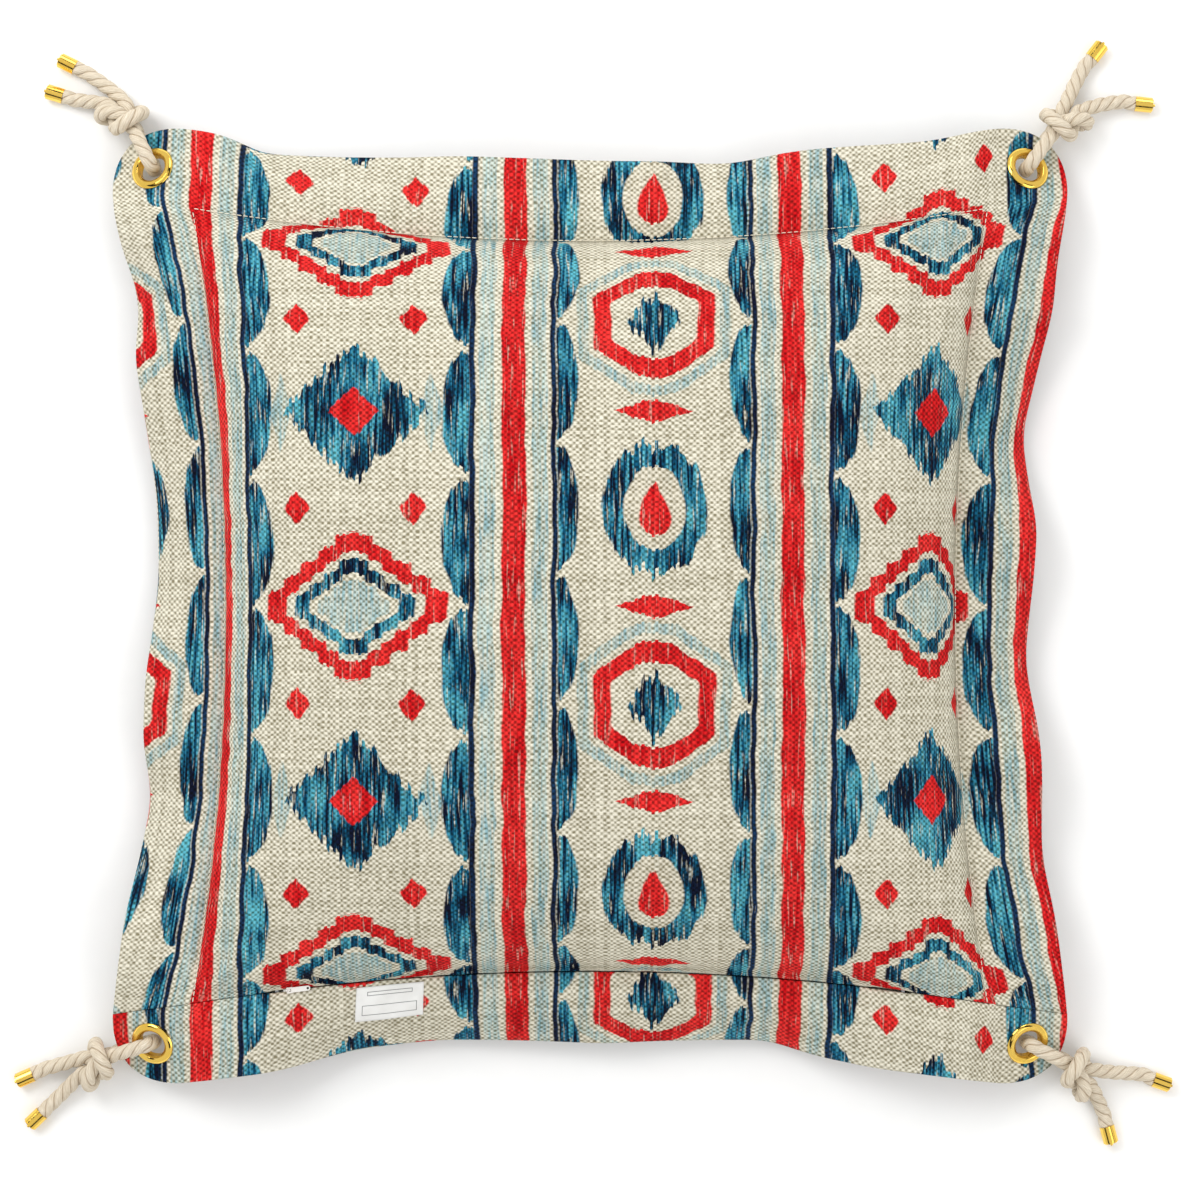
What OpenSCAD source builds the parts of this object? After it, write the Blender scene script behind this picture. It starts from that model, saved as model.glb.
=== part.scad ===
// Square floor cushion: a flanged linen cover with a concealed zip, a stuffed
// inner pad, four brass eyelets and four knotted cotton rope ties.
// It lies on the plane z = 0, with the zip towards -Y.

/* [Cover] */
// Width of the cover laid flat, edge to edge
cover_w = 712; // [680:4:760]
// Width of the flat flange outside the stitch line
flange_w = 60; // [52:1:66]
// Thickness of one layer of the linen
cloth_t = 1.2; // [0.8:0.1:1.5]
// Radius of the flange's corners
corner_r = 62; // [58:1:66]
// How far the stuffing draws in the middle of each side
side_pull = 34; // [26:1:38]

/* [Stuffing] */
// Height of the stitch line above the floor
seam_z = 56; // [52:1:62]
// Height of the crown above the stitch line
crown_h = 96; // [80:1:110]
// Depth that the underside would have below the stitch line with no floor under it
belly_h = 76; // [70:1:84]

/* [Corners] */
// Distance from an eyelet's centre to the two flange edges beside it
eyelet_inset = 32; // [30:1:34]
// Height of an eyelet's centre above the floor
eyelet_z = 30; // [29:0.5:33]
// How far each corner tips down and outwards, in degrees
corner_tilt = 30; // [26:1:32]
// Diameter of an eyelet's hole
eyelet_bore = 20; // [19.5:0.1:21]
// Outer diameter of an eyelet
eyelet_od = 32.5; // [31:0.5:34]

/* [Zip] */
// Length of the chain of coils between the stops
zip_length = 462; // [440:1:470]
// Width of the slot between the two lips that cover the zip
zip_slot = 2.4; // [2.2:0.1:3]
// Length of the slider's pull
pull_length = 16; // [14:1:18]

/* [Ties] */
// Diameter of the three-strand cotton rope
rope_d = 10.5; // [9.5:0.1:10.8]
// Outer diameter of a brass end cap
ferrule_od = 11; // [10.6:0.1:12]
// Length of a brass end cap without its nub
ferrule_l = 12; // [10:1:15]

/* [Hidden] */
$fn = 64;
eps = 0.01;
half = cover_w / 2;
pocket = half - flange_w;
eyelet_at = half - eyelet_inset;
round_from = half - corner_r;
layer_gap = 0.1; // each cloth layer stands this far off the sheet between them
edge_drop = 12; // the flange sags this much at the middle of a side
droop_from = 240; // the stitch line is level as far as this from each centre line
patch_r = 22; // the cloth is flat this far around an eyelet
patch_fade = 34; // and takes this far to blend into the rest
seam_closed = 0.3; // gap between the lips where the seam is sewn
FLANGE_LINES = [0, 13, 24, 36, 48]; // cloth lines, measured in from the flange's edge
line_reach = pocket - 6; // outermost of the cloth lines over the stuffing
top_reach = pocket - 2; // the top starts to rise here, and beside the zip at line_reach
belly_reach = pocket + 2; // the underside starts to drop here
belly_zip_reach = pocket + 11; // and here beside the zip, which leaves room for the tapes
thread_r = 0.4;
insert_reach = pocket - 18;
insert_play = 4; // the insert is this much flatter than the cover's inside
casing_t = 1;

// The stitch line beside the zip is bowed; the zip runs on an arc of this radius.
zip_side_reach = 1 - side_pull * (1 - pow(pocket / half, 2)) / pocket;
zip_r = pow(half * zip_side_reach, 2) / (2 * side_pull);
zip_mid_y = side_pull - pocket;
zip_centre_y = zip_mid_y - zip_r;
zip_z = seam_z - layer_gap;
stop_inset = 6;
zip_end_angle = asin((zip_length / 2 - stop_inset) / zip_r);
tape_w = 8;
tape_t = 0.6;
tape_drop = 1.6; // the tapes lie this far below the lips, which leaves room for the slider
coil_w = 2.2;
coil_t = 2;
coil_gap = 1.4;
slider_l = 10;
slider_w = 8.2;
slider_wall = 0.9;
slider_play = 0.3;
channel_h = coil_t + tape_t + 2 * slider_play;
slider_h = channel_h + 2 * slider_wall;
divider_t = 0.8;
divider_l = 5;
neck_t = 1.6;
neck_l = 3.4;
pull_t = 1.2;
pull_w = 3.6;
pin_r = 0.6;
ear_r = 1.25;
ear_w = 1;
ear_play = 0.25;
pin_l = neck_t + 2 * ear_w + 0.8;
pull_hole_r = 0.9;

eyelet_wall = 1.2;
eyelet_dome = 2.2;
washer_t = 1;
roll_t = 0.9;

// Each tie: name, sign of its corner, heading at rest, and the routes of its two tails
// from inside the knot to the mouth of the end cap. Routes are in the tie's own frame,
// with +X along the heading and the eyelet's centre at its origin.
TIES = [
    ["rear_left", [-1, 1], 116,
        [[48, -4], [64, 2], [82, 10], [95, 20]],
        [[46, 4], [57, 12], [68, 24], [80, 37]]],
    ["rear_right", [1, 1], 55,
        [[48, 4], [60, 5], [76, 8], [97, 7]],
        [[48, -6], [62, -12], [78, -20], [88, -38]]],
    ["front_left", [-1, -1], 197,
        [[48, -5], [62, -5], [77, -4], [94, -2]],
        [[50, 4], [64, 11], [80, 19], [96, 27]]],
    ["front_right", [1, -1], -27,
        [[50, 5], [66, 11], [82, 15], [98, 17]],
        [[50, -4], [62, -10], [74, -19], [83, -29]]]
];
// Route of a tie's loop through its eyelet, as distance along the heading and height.
LOOP = [[36, 11], [28, 7], [18, 5.6], [8, 7.5], [2, 14], [0, 21], [2, 29], [6, 35], [13, 38],
    [21, 36], [28, 31], [36, 24]];
knot_at = 45;
knot_r = 17;
knot_half = 19;
ferrule_z = 5.6;
nub_l = 2.4;
nub_r = 1;
NAMES = [for (t = TIES) t[0]];

// ---- shape of the cloth: flat cloth coordinates (a, b) to the stuffed shape ----

function clamped(t) = max(0, min(1, t));
function eased(t) = let (c = clamped(t)) c * c * (3 - 2 * c);
function share(t, from, to) = clamped((abs(t) - from) / (to - from));

// The cut cloth has round corners.
function rounded(a, b) =
    let (p = (abs(a) - round_from) / corner_r, q = (abs(b) - round_from) / corner_r)
    p <= 0 || q <= 0 ? [a, b] : [
        sign(a) * (round_from + corner_r * p * sqrt(1 - q * q / 2)),
        sign(b) * (round_from + corner_r * q * sqrt(1 - p * p / 2))
    ];

function drawn_in(across, along) =
    sign(across) * side_pull * (1 - pow(along / half, 2)) * min(1, abs(across) / pocket);

function plan(a, b) =
    let (c = rounded(a, b)) [c.x - drawn_in(c.x, c.y), c.y - drawn_in(c.y, c.x)];

eyelet_xy = plan(eyelet_at, eyelet_at).x;

function sagged(a, b) =
    seam_z
    - edge_drop * (pow(share(a, pocket, half), 2) + pow(share(b, pocket, half), 2))
    - (seam_z - eyelet_z) * pow(share(a, droop_from, eyelet_at) * share(b, droop_from, eyelet_at), 2);

// Height of the sheet between the two layers: sagged, and flat around each eyelet.
function sheet_z(a, b) =
    let (
        p = plan(a, b),
        dx = abs(p.x) - eyelet_xy,
        dy = abs(p.y) - eyelet_xy,
        far = eased((norm([dx, dy]) - patch_r) / patch_fade),
        tipped = eyelet_z - tan(corner_tilt) * (dx + dy) / sqrt(2)
    )
    sagged(a, b) * far + tipped * (1 - far);

// Height of the stuffing over its own square, 1 at the centre and 0 at the sides.
function crown(a, b, across, rear, front) =
    let (along = b < 0 ? front : rear)
    sqrt(max(0, 1 - pow(a / across, 2)) * max(0, 1 - pow(b / along, 2)));

// ---- solids from the cloth's shape ----

function crowded(reach) = [for (k = [-8:8]) reach * sin(k * 90 / 8)];
low_flange = [for (t = FLANGE_LINES) t - half];
high_flange = [for (k = [4:-1:0]) half - FLANGE_LINES[k]];
all_lines = concat(low_flange, crowded(line_reach), high_flange);

// A closed solid between two heights over the cloth lines as and bs.
module blanket(as, bs, top, bottom) {
    columns = len(as);
    layer = columns * len(bs);
    points = concat(
        [for (b = bs, a = as) [plan(a, b).x, plan(a, b).y, top(a, b)]],
        [for (b = bs, a = as) [plan(a, b).x, plan(a, b).y, bottom(a, b)]]
    );
    cells = [for (j = [0:len(bs) - 2], i = [0:columns - 2]) j * columns + i];
    rim = concat(
        [for (i = [0:columns - 1]) i],
        [for (j = [1:len(bs) - 1]) j * columns + columns - 1],
        [for (i = [columns - 2:-1:0]) layer - columns + i],
        [for (j = [len(bs) - 2:-1:1]) j * columns]
    );
    next = function(k) rim[(k + 1) % len(rim)];
    faces = concat(
        [for (c = cells) each [[c, c + columns, c + 1], [c + 1, c + columns, c + columns + 1]]],
        [for (c = cells) each [
            [layer + c, layer + c + 1, layer + c + columns],
            [layer + c + 1, layer + c + columns + 1, layer + c + columns]
        ]],
        [for (k = [0:len(rim) - 1]) each [
            [rim[k], next(k), layer + rim[k]],
            [next(k), layer + next(k), layer + rim[k]]
        ]]
    );
    polyhedron(points, faces);
}

// ---- solids along a route ----

// A point at t between the two middle ones of four, on a smooth curve through them.
function curve(p, q, r, s, t) =
    let (bend = 2 * p - 5 * q + 4 * r - s, twist = 3 * q - p - 3 * r + s)
    q + (r - p) * t / 2 + bend * t * t / 2 + twist * t * t * t / 2;

function smooth_route(route, steps) =
    let (last = len(route) - 1)
    concat(
        [for (k = [0:last - 1], i = [0:steps - 1]) curve(
            route[max(0, k - 1)], route[k], route[k + 1], route[min(last, k + 2)], i / steps
        )],
        [route[last]]
    );

function unit(v) = v / norm(v);

// A round tube along the route; side is a direction that the route never follows.
module tube(route, r, side, steps, sides) {
    line = smooth_route(route, steps);
    last = len(line) - 1;
    along = [for (k = [0:last]) unit(line[min(last, k + 1)] - line[max(0, k - 1)])];
    turns = [for (i = [0:sides - 1]) i * 360 / sides];
    rings = [for (k = [0:last]) let (
            u = unit(side - (side * along[k]) * along[k]),
            v = cross(along[k], u)
        ) each [for (turn = turns) line[k] + r * (cos(turn) * u + sin(turn) * v)]];
    wall = [for (k = [0:last - 1], i = [0:sides - 1]) let (
            here = k * sides + i,
            beside = k * sides + (i + 1) % sides
        ) each [[here, here + sides, beside], [beside, here + sides, beside + sides]]];
    ends = [
        [for (i = [0:sides - 1]) i],
        [for (i = [sides - 1:-1:0]) last * sides + i]
    ];
    polyhedron(rings, concat(wall, ends));
}

// ---- cover ----

module in_corner(corner) {
    translate([corner.x * eyelet_xy, corner.y * eyelet_xy, eyelet_z])
        rotate([0, 0, atan2(corner.y, corner.x)])
            rotate([0, corner_tilt, 0])
                children();
}

module eyelet_holes() {
    for (t = TIES)
        in_corner(t[1])
            cylinder(h = 16, r = eyelet_bore / 2 + eyelet_wall + 0.2, center = true);
}

// A bar of the given cross-section that follows the bowed stitch line. The section's x is
// distance from the line into the cushion, and its y is height.
module along_zip(half_angle) {
    translate([0, zip_centre_y, 0])
        rotate([0, 0, 90 - half_angle])
            rotate_extrude(angle = 2 * half_angle, $fn = 360)
                translate([zip_r, 0])
                    children();
}

module zip_slot_cut() {
    along_zip(zip_end_angle + 0.3)
        translate([-zip_slot / 2, seam_z - 20])
            square([zip_slot, 40]);
}

module top_panel() {
    zip_side = -pocket + seam_closed / 2;
    rise = function(a, b) crown_h * crown(a, b, top_reach, top_reach, line_reach);
    color("wheat")
        difference() {
            blanket(
                all_lines,
                concat([zip_side], [for (t = all_lines) if (t > zip_side) t]),
                function(a, b) sheet_z(a, b) + layer_gap + cloth_t + rise(a, b),
                function(a, b) sheet_z(a, b) + layer_gap + rise(a, b)
            );
            zip_slot_cut();
            eyelet_holes();
        }
}

module zip_side_strip() {
    color("wheat")
        difference() {
            blanket(
                all_lines,
                concat(low_flange, [-pocket - seam_closed / 2]),
                function(a, b) sheet_z(a, b) + layer_gap + cloth_t,
                function(a, b) sheet_z(a, b) + layer_gap
            );
            zip_slot_cut();
            eyelet_holes();
        }
}

// The underside rests on the floor in a flat patch.
module bottom_panel() {
    inner_side = function(a, b) sheet_z(a, b) - layer_gap
        - belly_h * crown(a, b, belly_reach, belly_reach, belly_zip_reach);
    color("wheat")
        difference() {
            blanket(
                all_lines,
                all_lines,
                function(a, b) max(cloth_t, inner_side(a, b)),
                function(a, b) max(0, inner_side(a, b) - cloth_t)
            );
            eyelet_holes();
        }
}

// One bead stands for the line of stitches on the three sides without a zip.
module flange_thread() {
    stations = crowded(top_reach);
    seam_point = function(a, b)
        [plan(a, b).x, plan(a, b).y, sheet_z(a, b) + layer_gap + cloth_t + thread_r / 2];
    color("ivory") {
        for (side = [-1, 1])
            tube([for (s = stations) seam_point(side * pocket, s)], thread_r, [0, 0, 1], 1, 6);
        tube([for (s = stations) seam_point(s, pocket)], thread_r, [0, 0, 1], 1, 6);
    }
}

// ---- insert ----

// The insert's outer shape, or one that lies inside it by the given depth.
module stuffed(depth) {
    reach = insert_reach - 2 * depth;
    swell = function(a, b) crown(a, b, reach, reach, reach);
    blanket(
        crowded(reach),
        crowded(reach),
        function(a, b) sheet_z(a, b) + 0.5 + (crown_h - insert_play - 2 * depth) * swell(a, b),
        function(a, b) max(
            cloth_t + 0.6 + depth,
            sheet_z(a, b) - 0.5 - (belly_h - insert_play - 2 * depth) * swell(a, b)
        )
    );
}

module insert_casing() {
    color("white")
        difference() {
            stuffed(0);
            stuffed(casing_t);
        }
}

module insert_filling() {
    color("whitesmoke")
        stuffed(2 * casing_t);
}

// ---- zip ----

module zip_tape(side) {
    color("white")
        along_zip(zip_end_angle)
            translate([side > 0 ? coil_gap / 2 : -coil_gap / 2 - tape_w, zip_z - tape_drop - tape_t])
                square([tape_w, tape_t]);
}

// One bar stands for the sewn-on nylon coil of each tape.
module zip_coil(side) {
    color("white")
        along_zip(zip_end_angle - 0.12)
            translate([side > 0 ? coil_gap / 2 : -coil_gap / 2 - coil_w, zip_z - tape_drop - tape_t - coil_t])
                square([coil_w, coil_t]);
}

// Places children on the zip, with +X along it and +Y into the cushion.
module at_zip(angle) {
    translate([0, zip_centre_y, 0])
        rotate([0, 0, -angle])
            translate([0, zip_r, 0])
                children();
}

module zip_stop(angle) {
    color("silver")
        at_zip(angle)
            translate([-1.2, -3.2, zip_z - tape_drop - tape_t - coil_t - 0.6])
                cube([2.4, 6.4, 0.6]);
}

slider_angle = -asin((zip_length / 2 - stop_inset - slider_l) / zip_r);
coils_top = zip_z - tape_drop;
slider_z = coils_top - (coil_t + tape_t) / 2;
pin_x = -slider_l / 2 + 3.7;
pin_z = seam_z + layer_gap + cloth_t + ear_r + ear_play;

// Two plates joined by a divider between the coils, side walls below the tapes, and a neck
// that stands through the slot between the lips and carries a cross pin.
module zip_slider() {
    plate_z = slider_h / 2 - slider_wall;
    neck_h = pin_z - slider_z - plate_z;
    color("white")
        at_zip(slider_angle)
            translate([0, 0, slider_z]) {
                for (z = [-slider_h / 2, plate_z])
                    translate([-slider_l / 2, -slider_w / 2, z])
                        cube([slider_l, slider_w, slider_wall]);
                translate([-slider_l / 2, -divider_t / 2, -slider_h / 2])
                    cube([divider_l, divider_t, slider_h]);
                for (wall_y = [-slider_w / 2, slider_w / 2 - slider_wall])
                    translate([-slider_l / 2, wall_y, -slider_h / 2])
                        cube([slider_l, slider_wall, slider_wall + coil_t - slider_play]);
                translate([pin_x - neck_l / 2, -neck_t / 2, plate_z])
                    cube([neck_l, neck_t, neck_h]);
                translate([pin_x, 0, pin_z - slider_z])
                    rotate([90, 0, 0])
                        cylinder(h = pin_l, r = pin_r, center = true);
            }
}

// A flat tab with a hole at its free end and two ears on the slider's pin.
module zip_pull() {
    ear_at = neck_t / 2 + ear_play + ear_w / 2;
    tab_from = neck_l / 2 + 0.5;
    tab_end = pull_length - pull_w / 2;
    color("white")
        at_zip(slider_angle)
            translate([pin_x, 0, pin_z])
                difference() {
                    union() {
                        translate([tab_from, -pull_w / 2, -pull_t / 2])
                            cube([tab_end - tab_from, pull_w, pull_t]);
                        translate([tab_end, 0, -pull_t / 2])
                            cylinder(h = pull_t, r = pull_w / 2);
                        for (side = [-1, 1])
                            translate([0, side * ear_at, 0]) {
                                rotate([90, 0, 0])
                                    cylinder(h = ear_w, r = ear_r, center = true);
                                translate([0, -ear_w / 2, -pull_t / 2])
                                    cube([tab_from + 1, ear_w, pull_t]);
                            }
                    }
                    translate([tab_end, 0, -pull_t])
                        cylinder(h = 2 * pull_t, r = pull_hole_r);
                    rotate([90, 0, 0])
                        cylinder(h = 2 * pull_w, r = pin_r + 0.05, center = true);
                }
}

// ---- label ----

label_w = 50;
label_l = 25;
label_t = 0.5;
label_angle = -4.73; // place along the zip, as an angle at the arc's centre
label_turn = 1.2;
label_slope = 2;
label_clear = 3.2; // the pull runs past between the label and the zip's slot

module woven_label() {
    color("white")
        at_zip(label_angle)
            translate([0, -label_clear, seam_z + layer_gap + cloth_t + 0.1])
                rotate([label_slope, 0, label_turn])
                    translate([-label_w / 2, -label_l, 0])
                        cube([label_w, label_l, label_t]);
}

// ---- eyelets ----

module eyelet(corner) {
    bore_r = eyelet_bore / 2;
    neck_r = bore_r + eyelet_wall;
    seat = layer_gap + cloth_t;
    roll_at = seat + washer_t;
    color("gold")
        in_corner(corner)
            rotate_extrude() {
                translate([bore_r, -roll_at - roll_t])
                    square([eyelet_wall, 2 * seat + washer_t + roll_t + 0.4]);
                // domed rim on the printed face
                intersection() {
                    translate([bore_r, seat])
                        square([eyelet_od / 2 - bore_r, eyelet_dome]);
                    translate([(bore_r + eyelet_od / 2) / 2, seat - 1.2])
                        circle(r = 3.6);
                }
                // rolled lip under the washer
                translate([bore_r, -roll_at - roll_t])
                    square([eyelet_wall + 1.6, roll_t]);
            }
}

module washer(corner) {
    color("gold")
        in_corner(corner)
            translate([0, 0, -layer_gap - cloth_t - washer_t])
                difference() {
                    cylinder(h = washer_t, r = eyelet_od / 2 - 0.5);
                    translate([0, 0, -eps])
                        cylinder(h = washer_t + 2 * eps, r = eyelet_bore / 2 + eyelet_wall + 0.02);
                }
}

// ---- rope ties ----

module on_heading(tie) {
    translate([tie[1].x * eyelet_xy, tie[1].y * eyelet_xy, 0])
        rotate([0, 0, tie[2]])
            children();
}

module rope_loop(tie) {
    color("linen")
        on_heading(tie)
            tube([for (p = LOOP) [p.x, 0, p.y]], rope_d / 2, [0, 1, 0], 2, 10);
}

module rope_knot(tie) {
    color("linen")
        on_heading(tie)
            translate([knot_at, 0, knot_r])
                rotate([90, 0, 0])
                    rotate_extrude()
                        intersection() {
                            union() {
                                for (end = [-1, 1])
                                    translate([0, end * (knot_half - knot_r)])
                                        circle(r = knot_r);
                                translate([-knot_r, knot_r - knot_half])
                                    square([2 * knot_r, 2 * (knot_half - knot_r)]);
                            }
                            translate([0, -knot_half])
                                square([knot_r, 2 * knot_half]);
                        }
}

module rope_tail(tie, route) {
    color("linen")
        on_heading(tie)
            tube([for (p = route) [p.x, p.y, ferrule_z]], rope_d / 2, [0, 0, 1], 2, 10);
}

// A drawn cup over the end of the rope, with a nub on its closed end.
module ferrule(tie, route) {
    mouth = route[3];
    heading = route[3] - route[2];
    color("gold")
        on_heading(tie)
            translate([mouth.x, mouth.y, ferrule_z])
                rotate([0, 90, atan2(heading.y, heading.x)]) {
                    cylinder(h = ferrule_l, r = ferrule_od / 2);
                    cylinder(h = ferrule_l + 0.8, r = ferrule_od / 2 - 1);
                    cylinder(h = ferrule_l + nub_l, r = nub_r);
                }
}

top_panel();
zip_side_strip();
bottom_panel();
flange_thread();
insert_casing();
insert_filling();
zip_tape(1);  // zip_tape_inner
zip_tape(-1);  // zip_tape_outer
zip_coil(1);  // zip_coil_inner
zip_coil(-1);  // zip_coil_outer
zip_stop(-zip_end_angle);  // zip_closed_stop
zip_stop(zip_end_angle);  // zip_open_stop
zip_slider();
zip_pull();
woven_label();
for (tie = TIES) {
    eyelet(tie[1]);
    washer(tie[1]);
    rope_loop(tie);
    rope_knot(tie);
    rope_tail(tie, tie[3]);
    rope_tail(tie, tie[4]);
    ferrule(tie, tie[3]);
    ferrule(tie, tie[4]);
}
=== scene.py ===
import math

import bpy
import numpy as np
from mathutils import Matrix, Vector


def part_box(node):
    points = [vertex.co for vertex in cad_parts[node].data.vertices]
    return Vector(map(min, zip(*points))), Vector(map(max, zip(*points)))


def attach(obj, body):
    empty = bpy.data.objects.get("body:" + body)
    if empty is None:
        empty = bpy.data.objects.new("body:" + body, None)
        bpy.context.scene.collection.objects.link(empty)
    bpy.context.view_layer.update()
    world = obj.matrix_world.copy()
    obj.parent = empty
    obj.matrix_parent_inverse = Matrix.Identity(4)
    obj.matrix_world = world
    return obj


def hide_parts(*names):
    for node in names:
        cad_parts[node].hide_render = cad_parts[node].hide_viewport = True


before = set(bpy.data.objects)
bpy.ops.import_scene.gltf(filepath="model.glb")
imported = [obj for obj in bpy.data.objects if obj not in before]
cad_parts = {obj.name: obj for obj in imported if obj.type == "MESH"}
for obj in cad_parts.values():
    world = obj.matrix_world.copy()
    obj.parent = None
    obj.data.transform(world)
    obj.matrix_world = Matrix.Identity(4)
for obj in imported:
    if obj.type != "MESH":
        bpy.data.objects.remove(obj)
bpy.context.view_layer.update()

# ---------------------------------------------------------------------------
# Sizes of the cushion, in metres. They repeat the driving values of the CAD.
# ---------------------------------------------------------------------------

HALF = 0.356
FLANGE = 0.060
POCKET = HALF - FLANGE
CLOTH = 0.0012
GAP = 0.0001
CORNER_R = 0.062
SIDE_PULL = 0.034
SEAM_Z = 0.056
CROWN_H = 0.096
BELLY_H = 0.076
EYELET_AT = HALF - 0.032
EYELET_Z = 0.030
CORNER_TILT = math.radians(30)
ROUND_FROM = HALF - CORNER_R
EDGE_DROP = 0.012
DROOP_FROM = 0.240
PATCH_R = 0.022
PATCH_FADE = 0.034
SLOT_HALF = 0.0009
ZIP_REACH = 1 - SIDE_PULL * (1 - (POCKET / HALF) ** 2) / POCKET
ZIP_MID_Y = SIDE_PULL - POCKET
ZIP_HALF = 0.225
LABEL_AT = -0.143
ZIP_R = (HALF * ZIP_REACH) ** 2 / (2 * SIDE_PULL)

ROPE_D = 0.0105
ROPE_LAY = 0.028
FERRULE_Z = 0.0056

# Each tie: name, sign of its corner, heading, side of the knot on which its upper end leaves,
# and the ends of its two tails in its own frame, with +X along the heading and the eyelet's
# centre at the origin.
TIES = [
    ("rear_left", (-1, 1), 116, 1, [(0.064, 0.002), (0.082, 0.010), (0.095, 0.020)],
     [(0.068, 0.024), (0.080, 0.037)]),
    ("rear_right", (1, 1), 55, -1, [(0.076, 0.008), (0.097, 0.007)], [(0.078, -0.020), (0.088, -0.038)]),
    ("front_left", (-1, -1), 197, 1, [(0.077, -0.004), (0.094, -0.002)], [(0.080, 0.019), (0.096, 0.027)]),
    ("front_right", (1, -1), -27, -1, [(0.082, 0.015), (0.098, 0.017)], [(0.074, -0.019), (0.083, -0.029)]),
]
# The loop through the eyelet as distance along the heading and height, in two halves
# that start together inside the hole: below the cloth and above it.
LOOP_BELOW = [(0, 0.021), (0.002, 0.014), (0.008, 0.0075), (0.018, 0.0056), (0.028, 0.007)]
LOOP_ABOVE = [(0, 0.021), (0.002, 0.029), (0.006, 0.035), (0.013, 0.038), (0.021, 0.036)]
# The half hitch of each tie: the lower end goes straight through, the upper end passes over
# it, round it and over itself, and leaves between the two. As (forwards, sideways, height).
KNOT_CORE = [(0.036, -0.001, 0.0120), (0.046, -0.001, 0.0160), (0.056, -0.001, 0.0120)]
KNOT_HITCH = [(0.030, 0.000, 0.0325), (0.040, -0.001, 0.0285), (0.050, 0.002, 0.0275),
              (0.057, 0.010, 0.0245), (0.058, 0.018, 0.0150), (0.055, 0.012, 0.0065),
              (0.050, 0.001, 0.0056), (0.044, -0.0095, 0.0090), (0.041, -0.0130, 0.0180),
              (0.039, -0.0085, 0.0300), (0.038, 0.0000, 0.0375), (0.037, 0.0090, 0.0335),
              (0.036, 0.0140, 0.0220), (0.040, 0.0125, 0.0130), (0.048, 0.0090, 0.0120),
              (0.058, 0.0090, 0.0095)]


# ---------------------------------------------------------------------------
# Helpers
# ---------------------------------------------------------------------------

def link(obj):
    bpy.context.scene.collection.objects.link(obj)
    return obj


def mesh_piece(name, points, faces, material, uvs=None, corner_uvs=None):
    """A smooth mesh object; uvs gives one (u, v) per point, corner_uvs one per face corner."""
    mesh = bpy.data.meshes.new(name)
    mesh.from_pydata([tuple(p) for p in points], [], [tuple(f) for f in faces])
    if uvs is not None:
        layer = mesh.uv_layers.new(name="cloth")
        corner_points = np.zeros(len(mesh.loops), np.int32)
        mesh.loops.foreach_get("vertex_index", corner_points)
        layer.data.foreach_set("uv", np.asarray(uvs, np.float32)[corner_points].ravel())
    if corner_uvs is not None:
        mesh.uv_layers.new(name="cloth").data.foreach_set("uv", np.asarray(corner_uvs, np.float32).ravel())
    mesh.polygons.foreach_set("use_smooth", [True] * len(mesh.polygons))
    mesh.materials.append(material)
    mesh.update()
    return link(bpy.data.objects.new(name, mesh))


def place(piece, body, slot, *nodes):
    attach(piece, body)
    if nodes:
        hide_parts(*nodes)
    return piece


def shell_faces(rows, columns, flipped=False):
    """Faces of a closed shell: an upper grid of points, a lower grid after it, and the rim."""
    total = rows * columns
    index = np.arange(total).reshape(rows, columns)
    upper = [(index[j, i], index[j, i + 1], index[j + 1, i + 1], index[j + 1, i])
             for j in range(rows - 1) for i in range(columns - 1)]
    lower = [tuple(total + k for k in reversed(f)) for f in upper]
    loop = list(index[0, :]) + list(index[1:, -1]) + list(index[-1, -2::-1]) + list(index[-2:0:-1, 0])
    walls = [(after, here, here + total, after + total) for here, after in zip(loop, loop[1:] + loop[:1])]
    faces = upper + lower + walls
    return [(f[0],) + f[:0:-1] for f in faces] if flipped else faces


def clamped(t):
    return np.clip(t, 0, 1)


def eased(t):
    c = clamped(t)
    return c * c * (3 - 2 * c)


def unit_rows(rows):
    return rows / np.maximum(np.linalg.norm(rows, axis=-1, keepdims=True), 1e-12)


def distances(points):
    """Distance along a line of points, from its first one to each."""
    return np.concatenate([[0], np.cumsum(np.linalg.norm(np.diff(points, axis=0), axis=1))])


def resampled(points, spacing):
    """Points at an even spacing on a smooth curve through the given ones."""
    p = np.asarray(points, float)
    padded = np.vstack([2 * p[0] - p[1], p, 2 * p[-1] - p[-2]])
    dense = []
    for k in range(len(p) - 1):
        a, b, c, d = padded[k:k + 4]
        for t in np.arange(0, 1, 0.05):
            bend = 2 * a - 5 * b + 4 * c - d
            twist = 3 * b - a - 3 * c + d
            dense.append(b + (c - a) * t / 2 + bend * t * t / 2 + twist * t ** 3 / 2)
    dense = np.array(dense + [p[-1]])
    reach = distances(dense)
    count = max(2, int(round(reach[-1] / spacing)) + 1)
    stations = np.linspace(0, reach[-1], count)
    return np.column_stack([np.interp(stations, reach, dense[:, i]) for i in range(3)])


# ---------------------------------------------------------------------------
# Camera, straight above
# ---------------------------------------------------------------------------

def make_camera():
    height = 3.0
    frame_width = 0.864
    camera = link(bpy.data.objects.new("camera", bpy.data.cameras.new("camera")))
    camera.location = (0.0072, 0.0043, 0.045 + height)
    camera.data.sensor_width = 36
    camera.data.lens = 36 * height / frame_width
    camera.data.clip_end = 20
    bpy.context.scene.camera = camera


# ---------------------------------------------------------------------------
# Materials
# ---------------------------------------------------------------------------

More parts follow.
